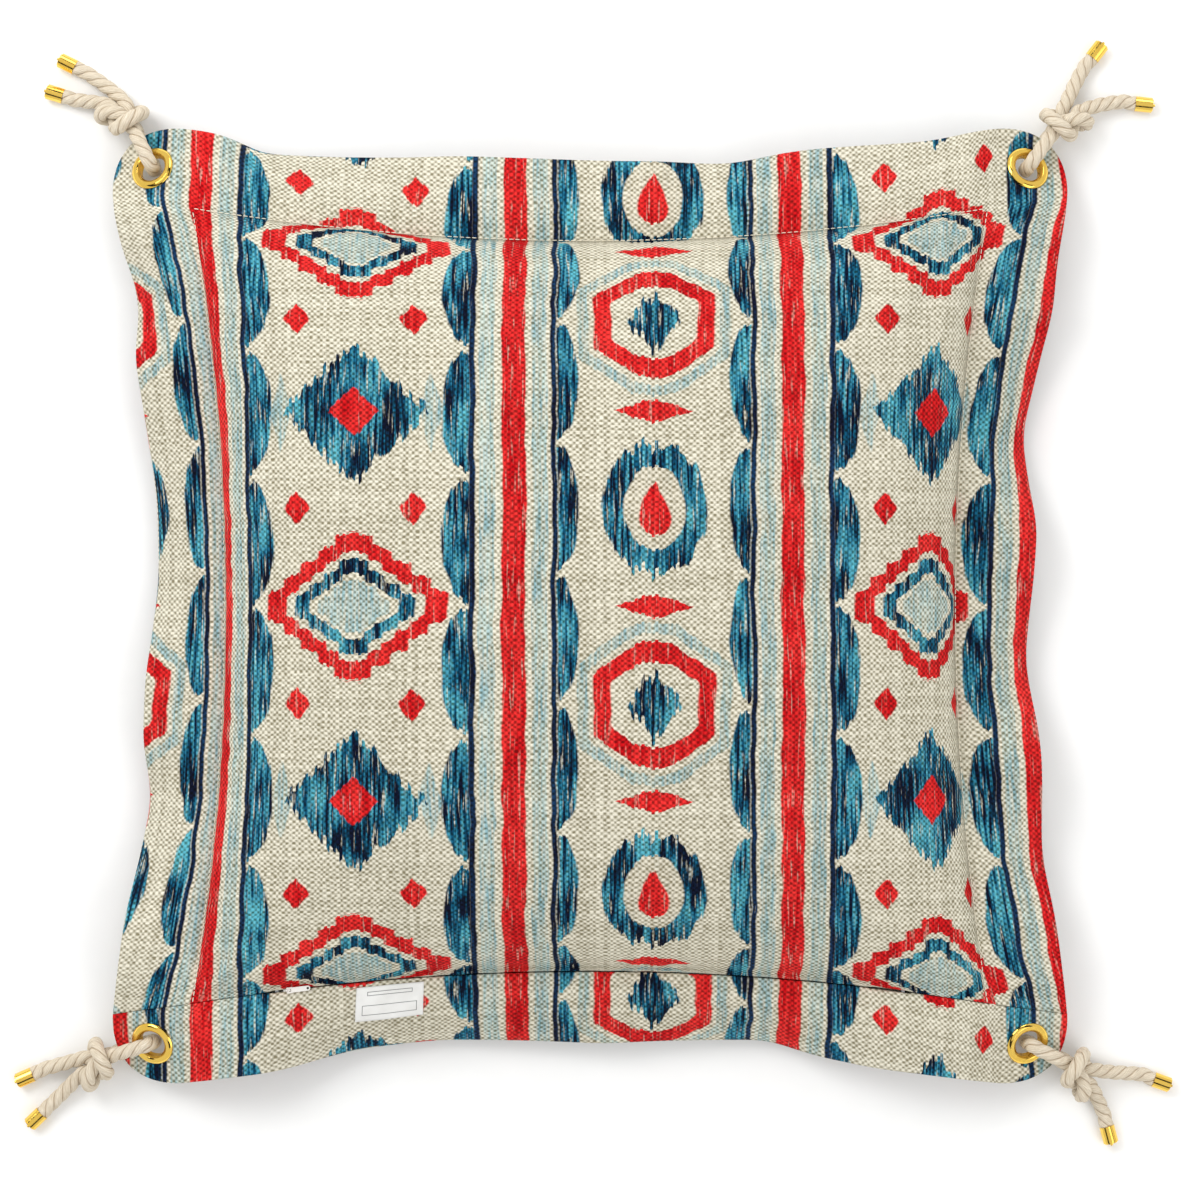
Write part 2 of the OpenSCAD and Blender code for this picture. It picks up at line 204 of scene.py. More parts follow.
class Nodes:
    """Short names for the nodes of one material."""

    def __init__(self, name):
        self.material = bpy.data.materials.new(name)
        self.material.use_nodes = True
        self.tree = self.material.node_tree
        self.shader = self.tree.nodes["Principled BSDF"]

    def put(self, socket, value):
        if isinstance(value, bpy.types.NodeSocket):
            self.tree.links.new(value, socket)
        elif value is not None:
            socket.default_value = value

    def math(self, operation, a, b=None, c=None, clamp=False):
        node = self.tree.nodes.new("ShaderNodeMath")
        node.operation = operation
        node.use_clamp = clamp
        for socket, value in zip(node.inputs, (a, b, c)):
            self.put(socket, value)
        return node.outputs[0]

    def add(self, a, b):
        return self.math("ADD", a, b)

    def sub(self, a, b):
        return self.math("SUBTRACT", a, b)

    def mul(self, a, b):
        return self.math("MULTIPLY", a, b)

    def ramp(self, value, low, high, to_low=0.0, to_high=1.0):
        node = self.tree.nodes.new("ShaderNodeMapRange")
        for key, given in (("Value", value), ("From Min", low), ("From Max", high),
                           ("To Min", to_low), ("To Max", to_high)):
            self.put(node.inputs[key], given)
        return node.outputs["Result"]

    def mix(self, share, a, b):
        node = self.tree.nodes.new("ShaderNodeMix")
        node.data_type = "RGBA"
        self.put(node.inputs["Factor"], share)
        for key, colour in (("A", a), ("B", b)):
            socket = [s for s in node.inputs if s.name == key and s.type == "RGBA"][0]
            self.put(socket, colour if isinstance(colour, bpy.types.NodeSocket) else paint(colour))
        return [s for s in node.outputs if s.type == "RGBA"][0]

    def uv(self):
        node = self.tree.nodes.new("ShaderNodeUVMap")
        node.uv_map = "cloth"
        split = self.tree.nodes.new("ShaderNodeSeparateXYZ")
        self.tree.links.new(node.outputs["UV"], split.inputs[0])
        return split.outputs["X"], split.outputs["Y"]

    def position(self):
        return self.tree.nodes.new("ShaderNodeTexCoord").outputs["Object"]

    def vector(self, x, y, z=0.0):
        node = self.tree.nodes.new("ShaderNodeCombineXYZ")
        for socket, value in zip(node.inputs, (x, y, z)):
            self.put(socket, value)
        return node.outputs[0]

    def noise(self, vector, scale, detail=2.0):
        node = self.tree.nodes.new("ShaderNodeTexNoise")
        self.put(node.inputs["Vector"], vector)
        self.put(node.inputs["Scale"], scale)
        self.put(node.inputs["Detail"], detail)
        return node.outputs["Fac"]

    def each(self, value):
        """A random number for each whole number."""
        node = self.tree.nodes.new("ShaderNodeTexWhiteNoise")
        node.noise_dimensions = "1D"
        self.put(node.inputs["W"], self.math("FLOOR", value))
        return node.outputs["Value"]

    def curve(self, value, heights):
        """Even samples over 0 to 1, each from 0 to 1, as a curve of straight stretches."""
        node = self.tree.nodes.new("ShaderNodeFloatCurve")
        curve = node.mapping.curves[0]
        last = len(heights) - 1
        kept = [k for k in range(len(heights))
                if k in (0, last) or heights[k - 1] != heights[k] or heights[k + 1] != heights[k]]
        curve.points[0].location = (0, heights[0])
        curve.points[1].location = (1, heights[last])
        for k in kept[1:-1]:
            curve.points.new(k / last, heights[k])
        for point in curve.points:
            point.handle_type = "VECTOR"
        node.mapping.update()
        self.put(node.inputs["Value"], value)
        return node.outputs[0]

    def bump(self, height, distance, strength=1.0):
        node = self.tree.nodes.new("ShaderNodeBump")
        node.inputs["Distance"].default_value = distance
        node.inputs["Strength"].default_value = strength
        self.put(node.inputs["Height"], height)
        self.put(self.shader.inputs["Normal"], node.outputs[0])

    def finish(self, colour, roughness, **fixed):
        socket = self.shader.inputs["Base Color"]
        self.put(socket, colour if isinstance(colour, bpy.types.NodeSocket) else paint(colour))
        self.put(self.shader.inputs["Roughness"], roughness)
        for key, value in fixed.items():
            self.shader.inputs[key.replace("_", " ")].default_value = value
        return self.material


def paint(rgb):
    """A shader colour from 0 to 255 display values."""
    parts = [c / 255 for c in rgb]
    return tuple(c / 12.92 if c <= 0.04045 else ((c + 0.055) / 1.055) ** 2.4 for c in parts) + (1.0,)


# ---- the printed linen ----

# The print repeats along the cloth, and is mirrored about column A and column B.
# Distances across the cloth are in print units, PRINT_SCALE metres each.
PRINT_SCALE = 0.923
REPEAT = 0.550
COLUMN_STEP = 0.230
COLUMN_A_AT = -0.181
SAMPLES = 220
ALONG = np.linspace(0, REPEAT, SAMPLES + 1)
NONE = -0.01
WIDEST = 0.11


def from_centre(at):
    """Distance along the cloth from a motif's centre, on the nearest repeat."""
    return (ALONG - at + REPEAT / 2) % REPEAT - REPEAT / 2


class Layer:
    """The span of a colour on one side of its column's centre, all along the repeat."""

    def __init__(self):
        self.inner = np.full(len(ALONG), NONE)
        self.outer = np.full(len(ALONG), NONE)

    def span(self, where, inner, outer):
        self.inner = np.where(where, inner, self.inner)
        self.outer = np.where(where, outer, self.outer)
        return self

    def lozenge(self, at, half_h, half_w, band=None, steps=0, points=1.3):
        """A ring when band is given; points is how much thicker it is at its side points."""
        d = np.abs(from_centre(at))

        def width(h, w):
            share = clamped(1 - d / h)
            if steps:
                share = np.ceil(share * steps) / steps
            return np.where(d < h, w * share, NONE)

        outer = width(half_h, half_w)
        inner = width(half_h - band, half_w - points * band) if band else np.full(len(ALONG), NONE)
        return self.span(d < half_h, np.minimum(inner, outer), outer)

    def gem(self, at, half_h, half_w, centre):
        """A small lozenge on each side of the column's centre."""
        swell = clamped(1 - np.abs(from_centre(at)) / half_h)
        return self.span(swell > 0, centre - half_w * swell, centre + half_w * swell)

    def six_sided(self, at, half_h, half_w, band):
        """A six-sided ring."""
        d = np.abs(from_centre(at))

        def width(h, w):
            return np.where(d < h, w * np.minimum(1, 0.25 + 1.5 * (1 - d / h)), NONE)

        return self.span(d < half_h, width(half_h - band, half_w - band), width(half_h, half_w))

    def oval(self, at, half_h, half_w):
        swell = np.sqrt(clamped(1 - (from_centre(at) / half_h) ** 2))
        return self.span(swell > 0, NONE, half_w * swell)

    def drop(self, at, half_h, half_w):
        """Pointed at its far end and round at the near one."""
        d = from_centre(at)
        share = clamped(0.5 + d / (2 * half_h))
        width = half_w * 2.6 * share * np.sqrt(clamped(1 - share ** 2))
        return self.span(np.abs(d) < half_h, NONE, width)

    def crescents(self, edge, places, half_h, swell):
        """Scallops along a border line."""
        for at in places:
            bulge = swell * np.sqrt(clamped(1 - (from_centre(at) / half_h) ** 2))
            self.span(bulge > 0, edge - bulge, edge)
        return self

    def closed(self):
        """Ends each span on the spot, so that no colour runs on to the next one."""
        spanned = np.flatnonzero(self.outer > self.inner)
        nearest = spanned[np.argmin(np.abs(spanned[:, None] - np.arange(len(ALONG))[None, :]), axis=0)]
        middle = (self.inner + self.outer)[nearest] / 2
        aside = (self.outer <= self.inner) & (self.inner[nearest] > 0)
        inner = np.where(aside, middle + 0.004, self.inner)
        outer = np.where(aside, middle - 0.004, self.outer)
        return inner, outer


# The motifs are plain ones on an even grid, with four places along the repeat. Those of
# column B stand half a place further on.
PLACES = REPEAT / 4 * np.arange(4)
HALF_PLACE = REPEAT / 8
SCALLOP_HALF = 0.044


def column_a():
    """Stepped lozenges and plain ones by turns, with small gems between them."""
    light, rings, body, red = Layer(), Layer(), Layer(), Layer()
    for at in PLACES[::2]:
        red.lozenge(at, 0.052, 0.074, band=0.014, steps=5)
        rings.lozenge(at, 0.033, 0.048, band=0.010, steps=4)
        light.lozenge(at, 0.020, 0.028, steps=3)
    for at in PLACES[1::2]:
        body.lozenge(at, 0.050, 0.058)
        light.gem(at, 0.030, 0.009, 0.060)
        red.lozenge(at, 0.018, 0.020)
    for at in PLACES + HALF_PLACE:
        red.gem(at, 0.012, 0.012, 0.046)
    return [(light, "light", 1), (rings, "blue", 1), (body, "blue", 3), (red, "red", 1)]


def column_b():
    """Six-sided rings and ovals by turns, with small lozenges between them."""
    light, red, body, bare, drops = Layer(), Layer(), Layer(), Layer(), Layer()
    for at in PLACES[::2] + HALF_PLACE:
        light.six_sided(at, 0.058, 0.058, 0.008)
        red.six_sided(at, 0.044, 0.046, 0.013)
        body.lozenge(at, 0.024, 0.022)
    for at in PLACES[1::2] + HALF_PLACE:
        body.oval(at, 0.046, 0.040)
        bare.oval(at, 0.030, 0.023)
        drops.drop(at, 0.020, 0.009)
    for at in PLACES:
        red.lozenge(at, 0.009, 0.030)
    return [(light, "light", 1), (red, "red", 1), (body, "blue", 3), (bare, "bare", 1), (drops, "red", 1)]


def border(edge, start, swell):
    """Even scallops along a column's edge, parted beside each of its rings."""
    places = start + REPEAT / 6 * (np.arange(6) + 0.5)
    return [(Layer().crescents(edge, places, SCALLOP_HALF, swell), "blue", 2)]


STRIPES = [(0.0895, 0.0940, "navy"), (0.0970, 0.1090, "light"), (0.1145, 0.1325, "red"),
           (0.1375, 0.1490, "light"), (0.1520, 0.1560, "navy")]


def between(n, value, low, high, soft):
    """1 where value lies between low and high, with soft edges."""
    above = n.math("DIVIDE", n.sub(value, low), soft)
    below = n.math("DIVIDE", n.sub(high, value), soft)
    return n.math("MULTIPLY", n.math("ADD", above, 0.5, clamp=True), n.math("ADD", below, 0.5, clamp=True))


def dyes(n, across, along):
    """The colours of the print, streaked yarn by yarn along the cloth."""
    streak = n.noise(n.vector(n.mul(across, 420), n.mul(along, 26)), 1.0, 3.0)
    blot = n.noise(n.vector(n.mul(across, 34), n.mul(along, 20)), 1.0, 2.0)
    depth = n.add(n.mul(streak, 0.6), n.mul(blot, 0.4))
    teal = n.mix(n.ramp(depth, 0.49, 0.62), (0, 98, 136), (98, 190, 208))
    teal = n.mix(n.ramp(depth, 0.43, 0.51), (0, 12, 42), teal)
    red = n.mix(n.ramp(depth, 0.40, 0.60), (204, 4, 16), (250, 54, 52))
    light = n.mix(n.ramp(depth, 0.42, 0.58), (140, 182, 192), (196, 216, 210))
    navy = n.mix(n.ramp(depth, 0.42, 0.62), (6, 14, 44), (18, 58, 98))
    return {"blue": teal, "red": red, "light": light, "navy": navy, "bare": (228, 221, 202)}


def slipped(n, across, along, each_yarn, each_bundle):
    """Distance along the cloth, moved a little from yarn to yarn as in a warp print."""
    yarn = n.sub(n.each(n.mul(across, 1 / 0.0024)), 0.5)
    bundle = n.sub(n.noise(n.vector(n.mul(across, 150), 0.0), 1.0, 1.0), 0.5)
    moved = n.add(n.add(along, n.mul(yarn, each_yarn)), n.mul(bundle, each_bundle))
    return n.math("FRACT", n.mul(moved, 1 / REPEAT))


def printed_linen(name, shift_along=0.0):
    """Coarse plain-weave linen with a warp-streaked print of stripes, lozenges and ovals."""
    n = Nodes(name)
    across, along = n.uv()
    along = n.add(along, shift_along)
    wobble = n.sub(n.noise(n.vector(n.mul(across, 12), n.mul(along, 30)), 1.0, 2.0), 0.5)
    units = n.mul(n.add(across, n.mul(wobble, 0.007)), 1 / PRINT_SCALE)
    folded = n.math("PINGPONG", n.sub(units, COLUMN_A_AT), COLUMN_STEP)
    other = n.sub(COLUMN_STEP, folded)
    turns = {1: slipped(n, across, along, 0.0018, 0.004), 2: slipped(n, across, along, 0.004, 0.009),
             3: slipped(n, across, along, 0.008, 0.020)}
    dye = dyes(n, across, along)
    worn = n.noise(n.vector(n.mul(across, 500), n.mul(along, 40)), 1.0, 2.0)
    cover = {"blue": n.ramp(worn, 0.31, 0.41, 0.25, 1.0), "red": n.ramp(worn, 0.32, 0.42, 0.60, 1.0),
             "light": n.ramp(worn, 0.36, 0.60, 0.30, 0.95), "navy": n.ramp(worn, 0.20, 0.30, 0.70, 1.0),
             "bare": n.ramp(worn, 0.20, 0.50, 0.80, 1.0)}
    cloth = n.mix(n.noise(n.vector(n.mul(across, 60), n.mul(along, 900)), 1.0, 2.0),
                  (204, 198, 177), (253, 248, 231))
    columns = ((column_a() + border(0.0900, 0.0, 0.022), folded),
               (column_b() + border(0.0735, HALF_PLACE, 0.016), other))
    for layers, side in columns:
        for layer, tone, slip in layers:
            inner, outer = layer.closed()
            low = n.ramp(n.curve(turns[slip], (inner - NONE) / WIDEST), 0, 1, NONE, NONE + WIDEST)
            high = n.ramp(n.curve(turns[slip], (outer - NONE) / WIDEST), 0, 1, NONE, NONE + WIDEST)
            cloth = n.mix(n.mul(between(n, side, low, high, 0.0016), cover[tone]), cloth, dye[tone])
    for low, high, tone in STRIPES:
        cloth = n.mix(n.mul(between(n, folded, low, high, 0.0012), cover[tone]), cloth, dye[tone])
    # The last value is the colour of the painted shade in the gaps between the weave's floats.
    return weave(n, cloth, across, along, 0.0024, 0.00205, (0.28, 0.26, 0.19))


def weave(n, colour, across, along, warp_pitch, weft_pitch, gap_shade):
    """A plain weave: floats that stand proud, with gaps between them. The gaps are darkened with painted
    shade.
    """
    ripple_a = n.mul(n.sub(n.noise(n.vector(n.mul(across, 130), n.mul(along, 60)), 1.0, 2.0), 0.5), 1.7)
    ripple_b = n.mul(n.sub(n.noise(n.vector(n.mul(along, 130), n.mul(across, 50)), 1.0, 2.0), 0.5), 1.7)
    i = n.math("SINE", n.mul(n.add(n.mul(across, 1 / warp_pitch), ripple_a), math.pi))
    j = n.math("SINE", n.mul(n.add(n.mul(along, 1 / weft_pitch), ripple_b), math.pi))
    floats = n.mul(i, j)
    slub = n.noise(n.vector(n.mul(across, 210), n.mul(along, 430)), 1.0, 1.0)
    warp_yarn = n.each(n.add(n.mul(across, 1 / warp_pitch), ripple_a))
    weft_yarn = n.each(n.add(n.add(n.mul(along, 1 / weft_pitch), ripple_b), 7.0))
    yarns = n.mul(n.sub(n.add(warp_yarn, weft_yarn), 1.0), 0.35)
    # Painted shade: where the floats sink into the gaps, the colour is multiplied towards the gap shade
    # colour. The yarn-to-yarn and slub noise vary it at random.
    lit = n.ramp(n.add(n.add(floats, yarns), n.mul(n.sub(slub, 0.5), 1.8)), -1.0, 0.8)
    shade = n.tree.nodes.new("ShaderNodeMix")
    shade.data_type = "RGBA"
    shade.blend_type = "MULTIPLY"
    colours = [s for s in shade.inputs if s.type == "RGBA"]
    n.put(shade.inputs["Factor"], n.sub(1.0, lit))
    n.put(colours[0], colour)
    colours[1].default_value = (*gap_shade, 1.0)
    result = [s for s in shade.outputs if s.type == "RGBA"][0]
    fuzz = n.noise(n.vector(n.mul(across, 2600), n.mul(along, 2600)), 1.0, 2.0)
    n.bump(n.add(n.mul(floats, 0.5), n.mul(fuzz, 0.25)), 0.0006, 0.8)
    return n.finish(result, n.ramp(floats, -1, 1, 0.95, 0.85), Specular_IOR_Level=0.15)


def cotton_rope():
    """Three-strand cotton: fine yarns on each strand with painted shade in the lines between them, and a
    brown line of painted shade in the grooves between the strands.
    """
    n = Nodes("rope_cotton")
    across, along = n.uv()
    yarns = n.math("SINE", n.mul(n.add(n.mul(across, 3.2), n.mul(along, -210)), 2 * math.pi))
    fibre = n.noise(n.vector(n.mul(across, 5), n.mul(along, 260)), 1.0, 3.0)
    blot = n.noise(n.position(), 110.0, 2.0)
    edge = n.math("ABSOLUTE", across)
    colour = n.mix(n.ramp(fibre, 0.3, 0.7), (204, 190, 166), (232, 221, 202))
    # Painted shade: darker, browner lines where the yarns dip between each other.
    colour = n.mix(n.mul(n.ramp(yarns, -1, -0.2, 1, 0), 0.22), colour, (178, 160, 132))
    colour = n.mix(n.mul(n.ramp(blot, 0.5, 0.8), 0.3), colour, (190, 170, 144))
    # Painted shade: the edge of each strand, in the groove between strands, darkened to brown.
    colour = n.mix(n.mul(n.ramp(edge, 0.80, 1.0), 0.75), colour, (150, 122, 90))
    n.bump(n.add(n.mul(yarns, 0.5), fibre), 0.00035, 0.7)
    return n.finish(colour, 0.9, Specular_IOR_Level=0.2)


def polished_brass():
    n = Nodes("brass")
    scuff = n.noise(n.position(), 420.0, 3.0)
    colour = n.mix(n.noise(n.position(), 60.0, 2.0), (255, 204, 78), (255, 220, 116))
    n.bump(scuff, 0.00003, 0.4)
    return n.finish(colour, n.ramp(scuff, 0.3, 0.75, 0.06, 0.2), Metallic=1.0)


def plain_cloth(name, low, high, scale=1.0):
    """Fine undyed cloth for tapes, casing and thread, woven on the object's own coordinates, with painted
    shade between its floats.
    """
    n = Nodes(name)
    split = n.tree.nodes.new("ShaderNodeSeparateXYZ")
    n.put(split.inputs[0], n.position())
    x, y = split.outputs["X"], split.outputs["Y"]
    i = n.math("SINE", n.mul(x, math.pi * 1600 / scale))
    j = n.math("SINE", n.mul(y, math.pi * 1600 / scale))
    floats = n.mul(i, j)
    grime = n.noise(n.position(), 120.0, 3.0)
    # Painted shade: the floats are lighter and the gaps between them darker. The grime noise adds random
    # tone.
    colour = n.mix(n.add(n.mul(floats, 0.25), grime), low, high)
    n.bump(n.add(floats, grime), 0.0002 * scale, 0.6)
    return n.finish(colour, 0.9, Sheen_Weight=0.1)


def enamel():
    n = Nodes("zip_enamel")
    chips = n.noise(n.position(), 900.0, 4.0)
    colour = n.mix(n.ramp(chips, 0.68, 0.72), (238, 236, 230), (190, 186, 178))
    n.bump(chips, 0.00005, 0.5)
    return n.finish(colour, n.ramp(chips, 0.3, 0.8, 0.22, 0.45), Coat_Weight=0.3)


def nylon():
    n = Nodes("zip_nylon")
    haze = n.noise(n.position(), 700.0, 2.0)
    n.bump(haze, 0.00005, 0.5)
    return n.finish(n.mix(haze, (226, 224, 218), (246, 245, 241)), 0.35)


def steel():
    n = Nodes("stop_metal")
    brushed = n.noise(n.position(), 1500.0, 2.0)
    n.bump(brushed, 0.00003, 0.5)
    return n.finish(n.mix(brushed, (176, 178, 182), (214, 216, 220)), n.ramp(brushed, 0.2, 0.8, 0.2, 0.4),
                    Metallic=1.0)


def label_satin():
    """White woven satin with two plain woven frames and no lettering."""
    n = Nodes("label_satin")
    across, along = n.uv()
    ribs = n.math("SINE", n.mul(along, 2 * math.pi * 2200))
    picks = n.math("SINE", n.mul(across, 2 * math.pi * 1500))
    soil = n.noise(n.vector(n.mul(across, 60), n.mul(along, 60)), 1.0, 3.0)
    n.bump(n.add(n.mul(ribs, 0.6), n.mul(picks, 0.4)), 0.00012, 0.7)
    colour = n.mix(n.ramp(soil, 0.3, 0.7), (232, 231, 227), (246, 246, 243))
    for middle, half_w, half_h in ((0.0052, 0.0165, 0.0013), (0.0176, 0.0200, 0.0036)):
        wide = n.sub(n.math("ABSOLUTE", across), half_w)
        tall = n.sub(n.math("ABSOLUTE", n.sub(along, middle)), half_h)
        line = n.math("ABSOLUTE", n.math("MAXIMUM", wide, tall))
        colour = n.mix(n.ramp(line, 0.00014, 0.00034, 0.85, 0.0), colour, (40, 40, 42))
    return n.finish(colour, n.ramp(ribs, -1, 1, 0.62, 0.42), Sheen_Weight=0.15)


def wadding():
    n = Nodes("filling_fibre")
    tufts = n.noise(n.position(), 60.0, 6.0)
    n.bump(tufts, 0.004, 1.0)
    return n.finish(n.mix(tufts, (224, 222, 216), (250, 249, 246)), 0.95, Sheen_Weight=0.3)


# ---------------------------------------------------------------------------
# Shape of the cloth: flat cloth coordinates (a, b) to the stuffed shape
# ---------------------------------------------------------------------------

# How far the flange's edge is drawn in at places along each side, besides the even curve
# that the stuffing gives it. Each row is (place along the side, shift inwards).
RIPPLES = {
    "left": [(-0.26, 0), (-0.22, 0), (-0.17, 0.005), (-0.14, 0.008), (-0.10, 0.001), (-0.05, 0.001),
             (0.02, 0.008), (0.08, 0.008), (0.13, 0.004), (0.18, 0.001), (0.22, 0.007), (0.26, 0.002)],
    "right": [(-0.26, 0), (-0.22, 0), (-0.18, 0.003), (-0.13, 0), (-0.09, 0), (-0.04, 0.006),
              (0.02, 0.001), (0.06, 0), (0.10, 0.007), (0.125, 0.011), (0.16, 0.006), (0.21, 0),
              (0.26, 0.001)],
    "rear": [(-0.27, 0.001), (-0.24, 0.008), (-0.17, 0.004), (-0.10, 0), (-0.03, 0), (0.05, 0.001),
             (0.10, 0.004), (0.14, 0), (0.19, 0), (0.26, 0.002)],
    "front": [(-0.27, 0), (-0.22, 0), (-0.17, 0.007), (-0.11, 0.009), (-0.04, 0.006), (0.01, 0.004),
              (0.07, 0.007), (0.13, 0.010), (0.16, 0.003), (0.20, 0), (0.26, 0)],
}


def rounded(a, b):
    p = (np.abs(a) - ROUND_FROM) / CORNER_R
    q = (np.abs(b) - ROUND_FROM) / CORNER_R
    both = (p > 0) & (q > 0)
    x = np.sign(a) * (ROUND_FROM + CORNER_R * p * np.sqrt(np.maximum(0, 1 - q * q / 2)))
    y = np.sign(b) * (ROUND_FROM + CORNER_R * q * np.sqrt(np.maximum(0, 1 - p * p / 2)))
    return np.where(both, x, a), np.where(both, y, b)


def drawn_in(across, along):
    return np.sign(across) * SIDE_PULL * (1 - (along / HALF) ** 2) * np.minimum(1, np.abs(across) / POCKET)


def plan(a, b):
    x, y = rounded(a, b)
    return x - drawn_in(x, y), y - drawn_in(y, x)


EYELET_XY = float(plan(np.array(EYELET_AT), np.array(EYELET_AT))[0])


def share(t, low, high):
    return clamped((np.abs(t) - low) / (high - low))


def sheet_z(a, b):
    """Height of the sheet between the two layers: sagged, and flat around each eyelet."""
    sagged = SEAM_Z - EDGE_DROP * (share(a, POCKET, HALF) ** 2 + share(b, POCKET, HALF) ** 2)
    corner = share(a, DROOP_FROM, EYELET_AT) * share(b, DROOP_FROM, EYELET_AT)
    sagged = sagged - (SEAM_Z - EYELET_Z) * corner ** 2
    x, y = plan(a, b)
    dx, dy = np.abs(x) - EYELET_XY, np.abs(y) - EYELET_XY
    far = eased((np.hypot(dx, dy) - PATCH_R) / PATCH_FADE)
    tipped = EYELET_Z - math.tan(CORNER_TILT) * (dx + dy) / math.sqrt(2)
    return sagged * far + tipped * (1 - far)


def crown(a, b, across, rear, front):
    along = np.where(b < 0, front, rear)
    return np.sqrt(np.maximum(0, 1 - (a / across) ** 2) * np.maximum(0, 1 - (b / along) ** 2))


def ripple(side, along):
    """Bend of the flange at a place along a side, from its shift inwards."""
    rows = RIPPLES[side]
    fine = np.linspace(-HALF, HALF, 400)
    shift = np.interp(fine, [r[0] for r in rows], [r[1] for r in rows])
    kernel = np.hanning(31)
    shift = np.convolve(np.pad(shift, 15, "edge"), kernel / kernel.sum(), "valid")
    fade = eased((0.285 - np.abs(along)) / 0.05)
    return np.arccos(1 - np.interp(along, fine, shift) * fade / FLANGE)


def flange_bend(out, angle):
    """Loss of reach and of height at a distance out from the stitch line; the bend grows outwards."""
    turn = np.maximum(angle, 1e-4)
    t = out / FLANGE
    start, end = 0.4 * turn, turn * (0.4 + 1.2 * t)
    reach = FLANGE / (1.2 * turn) * (np.sin(end) - np.sin(start))
    drop = FLANGE / (1.2 * turn) * (np.cos(start) - np.cos(end))
    return out - reach, drop


def waved(a, b):
    """The sheet with its rippled flange: x, y, z."""
    x, y = plan(a, b)
    z = sheet_z(a, b)
    for out, along, sides, axis in ((np.abs(a) - POCKET, b, ("left", "right"), 0),
                                    (np.abs(b) - POCKET, a, ("front", "rear"), 1)):
        sign = np.sign(a if axis == 0 else b)
        for side, which in zip(sides, (-1, 1)):
            here = (out > 0) & (sign == which)
            loss, drop = flange_bend(np.where(here, out, 0), ripple(side, along))
            z = z - np.where(here, drop, 0)
            if axis == 0:
                x = x - np.where(here, which * loss, 0)
            else:
                y = y - np.where(here, which * loss, 0)
    return x, y, z


def swells(a, b):
    """Soft unevenness of the stuffing."""
    return (0.0016 * np.sin(21 * a + 1.3) * np.sin(17 * b + 0.4)
            + 0.0011 * np.sin(38 * a + 9 * b + 2.1) + 0.0009 * np.sin(46 * b - 13 * a + 0.7))


def puckers(a, b):
    """Small folds where the stitch line gathers the cloth, and pulls from each pocket corner."""
    total = np.zeros_like(a)
    for side, along in ((a, b), (b, a)):
        inside = POCKET - np.abs(side)
        near = np.exp(-np.maximum(inside, 0) / 0.016) * (1 - np.exp(-np.abs(inside) / 0.004))
        along_fade = eased((POCKET - np.abs(along)) / 0.03)
        beat = np.sin(along * 262 + 2 * np.sin(along * 31 + 5 * side)) * (0.6 + 0.4 * np.sin(along * 47))
        total = total + np.where(inside > 0, 0.0011 * near * along_fade * beat, 0)
    for sx in (-1, 1):
        for sy in (-1, 1):
            u, v = POCKET - sx * a, POCKET - sy * b
            away = np.hypot(u, v)
            turn = np.arctan2(v, u)
            fold = np.cos(turn * 12 + sx + 2 * sy) * np.sin(turn * 2) ** 2
            reach = (1 - np.exp(-away / 0.03)) * np.exp(-away / 0.07)
            total = total + np.where((u > 0) & (v > 0), 0.0045 * fold * reach, 0)
    return total


# ---------------------------------------------------------------------------
# Cloth panels
# ---------------------------------------------------------------------------

def cloth_lines(low, high, step=0.004):
    """Cloth lines at an even step, closer at the edges and at the stitch lines."""
    count = int(round((high - low) / step))
    lines = set(np.linspace(low, high, count + 1).round(6))
    for edge, way in ((low, 1), (high, -1)):
        lines |= {round(edge + way * d, 6) for d in (0, 0.0003, 0.0008, 0.0016, 0.0028)}
    for seam in (-POCKET, POCKET):
        if low < seam < high:
            lines |= {round(seam + d, 6) for d in (-0.006, -0.0035, -0.002, -0.001, 0, 0.001, 0.0025)}
    kept = [low]
    for t in sorted(lines):
        if t - kept[-1] > 0.00025 and high - t > 0.00025:
            kept.append(t)
    return np.array(kept + [high])


def grid_normals(p):
    return unit_rows(np.cross(np.gradient(p, axis=1), np.gradient(p, axis=0)))


def folded_edge(distance):
    """Rounding of a turned edge: 0 at the edge and 1 where the cloth is at full height."""
    return np.sqrt(clamped(1 - (1 - clamped(distance / 0.0016)) ** 2))


def arc_length(p, fullness_low, fullness_high):
    """Cloth length along each row of points from the middle one. The fullness taken up by the
    seams is added towards both ends."""
    steps = np.linalg.norm(np.diff(p, axis=1), axis=2)
    reach = np.concatenate([np.zeros((p.shape[0], 1)), np.cumsum(steps, axis=1)], axis=1)
    reach = reach - reach[:, p.shape[1] // 2][:, None]
    t = reach / POCKET
    return reach + np.where(t > 0, fullness_high, -fullness_low) * clamped(np.abs(t)) ** 7


def looked_up(table, lines, a, b):
    """A value from an even table over the flat cloth, at the places (a, b)."""
    step = lines[1] - lines[0]
    column = np.clip((a - lines[0]) / step, 0, len(lines) - 1.001)
    row = np.clip((b - lines[0]) / step, 0, len(lines) - 1.001)
    i, j = column.astype(int), row.astype(int)
    s, t = column - i, row - j
    upper = table[j + 1, i] * (1 - s) + table[j + 1, i + 1] * s
    return (table[j, i] * (1 - s) + table[j, i + 1] * s) * (1 - t) + upper * t


def print_places(a, b, side):
    """Where the print falls: the length of cloth from the middle, in both directions."""
    lines = np.linspace(-HALF, HALF, 357)
    flat_a, flat_b = np.meshgrid(lines, lines)
    swell = crown(flat_a, flat_b, POCKET, POCKET, POCKET)
    shape = np.stack([flat_a - drawn_in(flat_a, flat_b), flat_b - drawn_in(flat_b, flat_a),
                      (CROWN_H if side > 0 else BELLY_H) * swell], axis=2)
    across = arc_length(shape, 0.000, 0.020)
    along = arc_length(shape.transpose(1, 0, 2), 0.010, 0.016).T
    cut_a, cut_b = rounded(a, b)
    return looked_up(across, lines, cut_a, cut_b), looked_up(along, lines, cut_a, cut_b)


